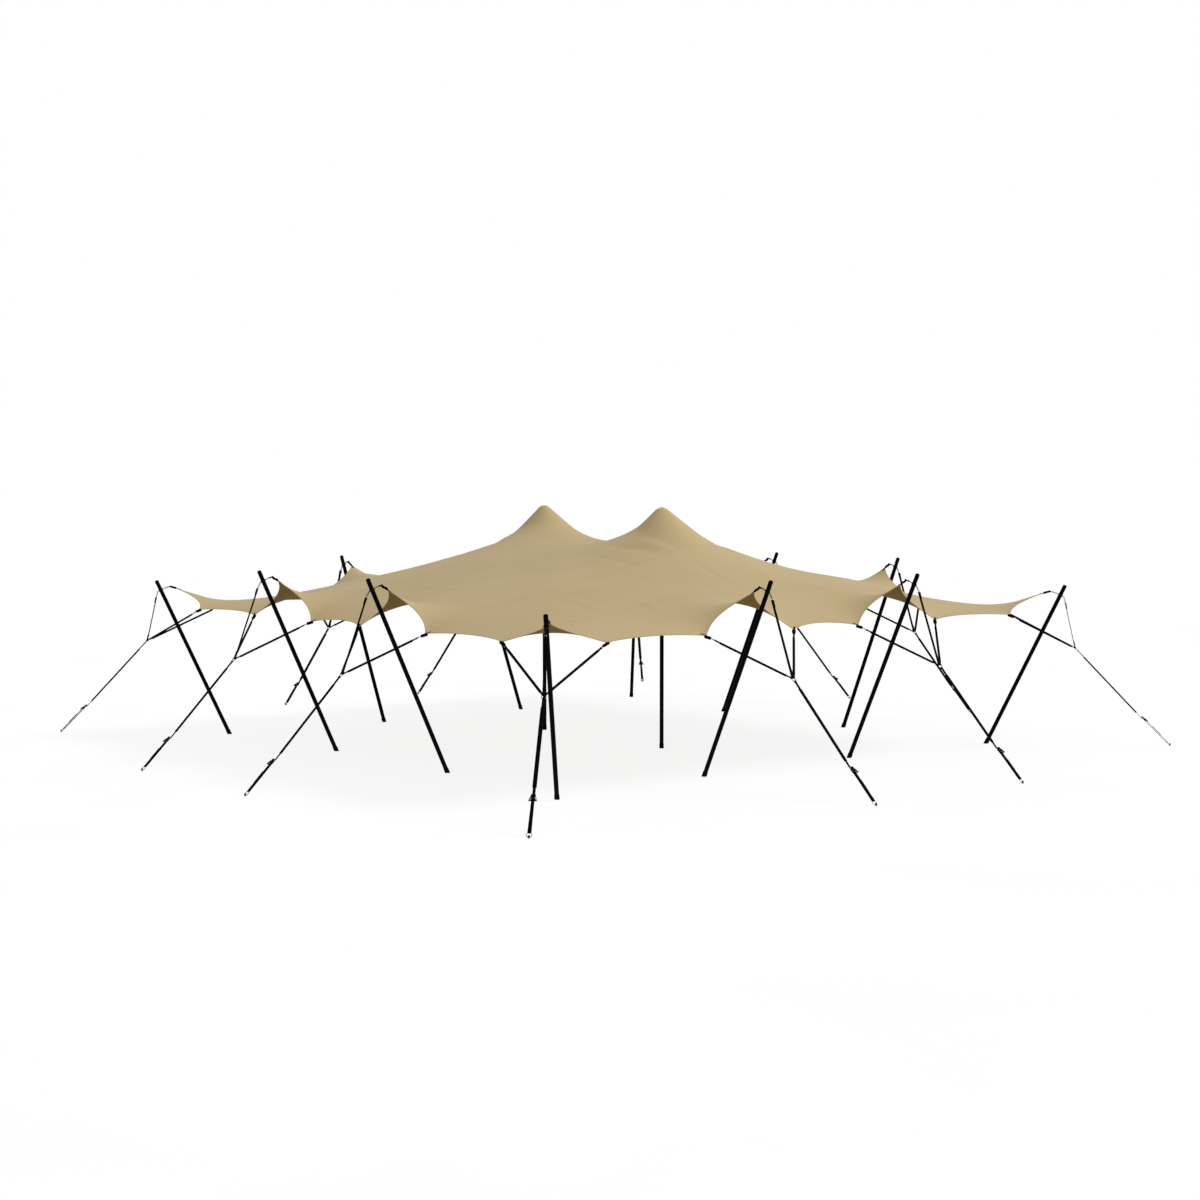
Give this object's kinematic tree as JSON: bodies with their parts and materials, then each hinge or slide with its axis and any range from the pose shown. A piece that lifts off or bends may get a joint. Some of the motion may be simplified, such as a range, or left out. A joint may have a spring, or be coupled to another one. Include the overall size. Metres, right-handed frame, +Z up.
{
  "type": "stretch tent",
  "caption": "Freeform stretch tent: one tensioned cloth with scalloped hems over two upright king poles, held out by leaning edge poles, webbing bridles and ratcheted ground straps.",
  "frame": {"origin": "on the ground under the middle of the tent", "axes": "+X along the line of the king poles, from the west one to the east one; +Z up; the picture looks from the south-east"},
  "size_m": [14.434, 14.434, 3.67],
  "materials": {
    "cloth": "matt woven stretch cloth, sand beige, darker seen from below",
    "pole_black": "satin black powder coat",
    "webbing_black": "black woven polyester webbing",
    "ratchet_black": "black coated pressed steel",
    "ring_steel": "bright galvanised steel"
  },
  "bodies": {
    "tent": {"canopy": "cloth", "king_pole_west": "pole_black", "king_pole_east": "pole_black", "edge_pole_north_1": "pole_black", "bridle_north_1": "webbing_black", "ground_strap_north_1": "webbing_black", "edge_pole_north_2": "pole_black", "bridle_north_2": "webbing_black", "ground_strap_north_2": "webbing_black", "edge_pole_west_1": "pole_black", "bridle_west_1": "webbing_black", "ground_strap_west_1": "webbing_black", "edge_pole_west_2": "pole_black", "bridle_west_2": "webbing_black", "ground_strap_west_2": "webbing_black", "edge_pole_south_1": "pole_black", "bridle_south_1": "webbing_black", "ground_strap_south_1": "webbing_black", "edge_pole_south_2": "pole_black", "bridle_south_2": "webbing_black", "ground_strap_south_2": "webbing_black", "edge_pole_east_1": "pole_black", "bridle_east_1": "webbing_black", "ground_strap_east_1": "webbing_black", "edge_pole_east_2": "pole_black", "bridle_east_2": "webbing_black", "ground_strap_east_2": "webbing_black", "corner_pole_north_west": "pole_black", "bridle_north_west": "webbing_black", "ground_strap_north_west": "webbing_black", "corner_pole_south_west": "pole_black", "bridle_south_west": "webbing_black", "ground_strap_south_west": "webbing_black", "corner_pole_south_east": "pole_black", "bridle_south_east": "webbing_black", "ground_strap_south_east": "webbing_black", "corner_pole_north_east": "pole_black", "bridle_north_east": "webbing_black", "ground_strap_north_east": "webbing_black"},
    "handle_north_1": {"ratchet_handle_north_1": "ratchet_black"},
    "handle_north_2": {"ratchet_handle_north_2": "ratchet_black"},
    "handle_west_1": {"ratchet_handle_west_1": "ratchet_black"},
    "handle_west_2": {"ratchet_handle_west_2": "ratchet_black"},
    "handle_south_1": {"ratchet_handle_south_1": "ratchet_black"},
    "handle_south_2": {"ratchet_handle_south_2": "ratchet_black"},
    "handle_east_1": {"ratchet_handle_east_1": "ratchet_black"},
    "handle_east_2": {"ratchet_handle_east_2": "ratchet_black"},
    "handle_north_west": {"ratchet_handle_north_west": "ratchet_black"},
    "handle_south_west": {"ratchet_handle_south_west": "ratchet_black"},
    "handle_south_east": {"ratchet_handle_south_east": "ratchet_black"},
    "handle_north_east": {"ratchet_handle_north_east": "ratchet_black"}
  },
  "joints": [
    {"name": "ratchet_north_1", "type": "hinge", "parent": "tent", "child": "handle_north_1", "pos_m": [-1.449, 6.77432, 0.43301], "axis": [1, 0, 0], "range_deg": [0, 151]},
    {"name": "ratchet_north_2", "type": "hinge", "parent": "tent", "child": "handle_north_2", "pos_m": [1.449, 6.77432, 0.43301], "axis": [1, 0, 0], "range_deg": [0, 151]},
    {"name": "ratchet_west_1", "type": "hinge", "parent": "tent", "child": "handle_west_1", "pos_m": [-6.77432, -1.449, 0.43301], "axis": [0, 1, 0], "range_deg": [0, 151]},
    {"name": "ratchet_west_2", "type": "hinge", "parent": "tent", "child": "handle_west_2", "pos_m": [-6.77432, 1.449, 0.43301], "axis": [0, 1, 0], "range_deg": [0, 151]},
    {"name": "ratchet_south_1", "type": "hinge", "parent": "tent", "child": "handle_south_1", "pos_m": [1.449, -6.77432, 0.43301], "axis": [-1, 0, 0], "range_deg": [0, 151]},
    {"name": "ratchet_south_2", "type": "hinge", "parent": "tent", "child": "handle_south_2", "pos_m": [-1.449, -6.77432, 0.43301], "axis": [-1, 0, 0], "range_deg": [0, 151]},
    {"name": "ratchet_east_1", "type": "hinge", "parent": "tent", "child": "handle_east_1", "pos_m": [6.77432, 1.449, 0.43301], "axis": [0, -1, 0], "range_deg": [0, 151]},
    {"name": "ratchet_east_2", "type": "hinge", "parent": "tent", "child": "handle_east_2", "pos_m": [6.77432, -1.449, 0.43301], "axis": [0, -1, 0], "range_deg": [0, 151]},
    {"name": "ratchet_north_west", "type": "hinge", "parent": "tent", "child": "handle_north_west", "pos_m": [-5.92707, 5.92707, 0.43096], "axis": [0.7071, 0.7071, 0], "range_deg": [0, 151]},
    {"name": "ratchet_south_west", "type": "hinge", "parent": "tent", "child": "handle_south_west", "pos_m": [-5.92707, -5.92707, 0.43096], "axis": [-0.7071, 0.7071, 0], "range_deg": [0, 151]},
    {"name": "ratchet_south_east", "type": "hinge", "parent": "tent", "child": "handle_south_east", "pos_m": [5.92707, -5.92707, 0.43096], "axis": [-0.7071, -0.7071, 0], "range_deg": [0, 151]},
    {"name": "ratchet_north_east", "type": "hinge", "parent": "tent", "child": "handle_north_east", "pos_m": [5.92707, 5.92707, 0.43096], "axis": [0.7071, -0.7071, 0], "range_deg": [0, 151]}
  ]
}
